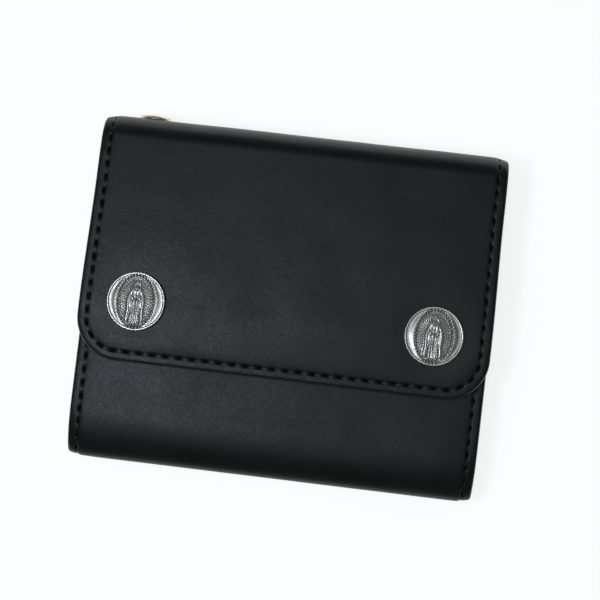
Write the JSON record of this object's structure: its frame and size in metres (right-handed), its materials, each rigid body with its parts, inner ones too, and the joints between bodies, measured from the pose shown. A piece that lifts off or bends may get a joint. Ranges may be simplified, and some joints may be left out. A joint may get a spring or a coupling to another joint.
{
  "type": "chain wallet",
  "caption": "Trifold black leather chain wallet with a snap flap, stepped card pockets, a zipped coin pocket and a chain grommet in the top fold.",
  "frame": {"origin": "centre of the bounding box's bottom face: the closed wallet lies on its back section with the snap flap facing up", "axes": "+X to the wallet's right along the folds, +Y towards the top fold that holds the chain grommet, +Z out of the flap"},
  "size_m": [0.115, 0.0982, 0.0222],
  "materials": {
    "outer_leather": "smooth semi-gloss full-grain",
    "inner_leather": "soft matte",
    "thread": "waxed polyester thread",
    "concho_silver": "antiqued silver plate, polished rim",
    "snap_metal": "nickel plate",
    "antique_brass": "antique brass, worn",
    "zip_tape": "woven tape",
    "zip_brass": "antique brass"
  },
  "bodies": {
    "back": {"back_leather": "outer_leather", "back_lining": "inner_leather", "bill_divider": "inner_leather", "card_panel": "inner_leather", "card_pocket_top": "inner_leather", "card_pocket_middle": "inner_leather", "card_pocket_bottom": "inner_leather", "card_pocket_stitching": "thread", "back_stitching": "thread"},
    "top_fold": {"top_fold_leather": "outer_leather", "top_fold_lining": "inner_leather", "top_fold_stitching": "thread", "grommet": "antique_brass", "grommet_washer": "antique_brass"},
    "flap": {"flap_leather": "outer_leather", "flap_lining": "inner_leather", "flap_stitching": "thread", "concho_left": "concho_silver", "concho_right": "concho_silver", "snap_socket_left": "snap_metal", "snap_socket_right": "snap_metal", "snap_springs": "snap_metal"},
    "bottom_fold": {"bottom_fold_leather": "outer_leather", "bottom_fold_lining": "inner_leather", "bottom_fold_stitching": "thread"},
    "front": {"front_leather": "outer_leather", "front_lining": "inner_leather", "front_stitching": "thread", "coin_pocket_wall": "inner_leather", "coin_gusset_left": "inner_leather", "coin_gusset_right": "inner_leather", "front_card_pocket": "inner_leather", "snap_stud_left": "snap_metal", "snap_stud_right": "snap_metal", "stud_post_left": "snap_metal", "stud_post_right": "snap_metal", "zip_tape_outer": "zip_tape", "zip_tape_inner": "zip_tape", "zip_teeth": "zip_brass", "zip_stops": "zip_brass"},
    "zip_slider": {"zip_slider": "snap_metal"},
    "zip_pull": {"zip_pull": "snap_metal"}
  },
  "joints": [
    {"name": "top_fold_open", "type": "hinge", "parent": "back", "child": "top_fold", "pos_m": [0, 0.04614, 0.00176], "axis": [-1, 0, 0], "range_deg": [0, 90]},
    {"name": "flap_open", "type": "hinge", "parent": "top_fold", "child": "flap", "pos_m": [0, 0.04614, 0.01824], "axis": [-1, 0, 0], "range_deg": [0, 90]},
    {"name": "bottom_fold_open", "type": "hinge", "parent": "back", "child": "bottom_fold", "pos_m": [0, -0.04734, 0.00176], "axis": [1, 0, 0], "range_deg": [0, 90]},
    {"name": "front_open", "type": "hinge", "parent": "bottom_fold", "child": "front", "pos_m": [0, -0.04734, 0.01304], "axis": [1, 0, 0], "range_deg": [0, 90]},
    {"name": "zip_slide", "type": "slide", "parent": "front", "child": "zip_slider", "axis": [-1, 0, 0], "range_m": [0, 0.084]},
    {"name": "pull_swing", "type": "hinge", "parent": "zip_slider", "child": "zip_pull", "pos_m": [0.042, 0.0243, 0.0109], "axis": [0, 0, -1], "range_deg": [0, 170]}
  ],
  "couplings": [
    {"joint": "flap_open", "follows": "top_fold_open", "ratio": 1},
    {"joint": "bottom_fold_open", "follows": "top_fold_open", "ratio": 0.5},
    {"joint": "front_open", "follows": "top_fold_open", "ratio": 0.5}
  ]
}
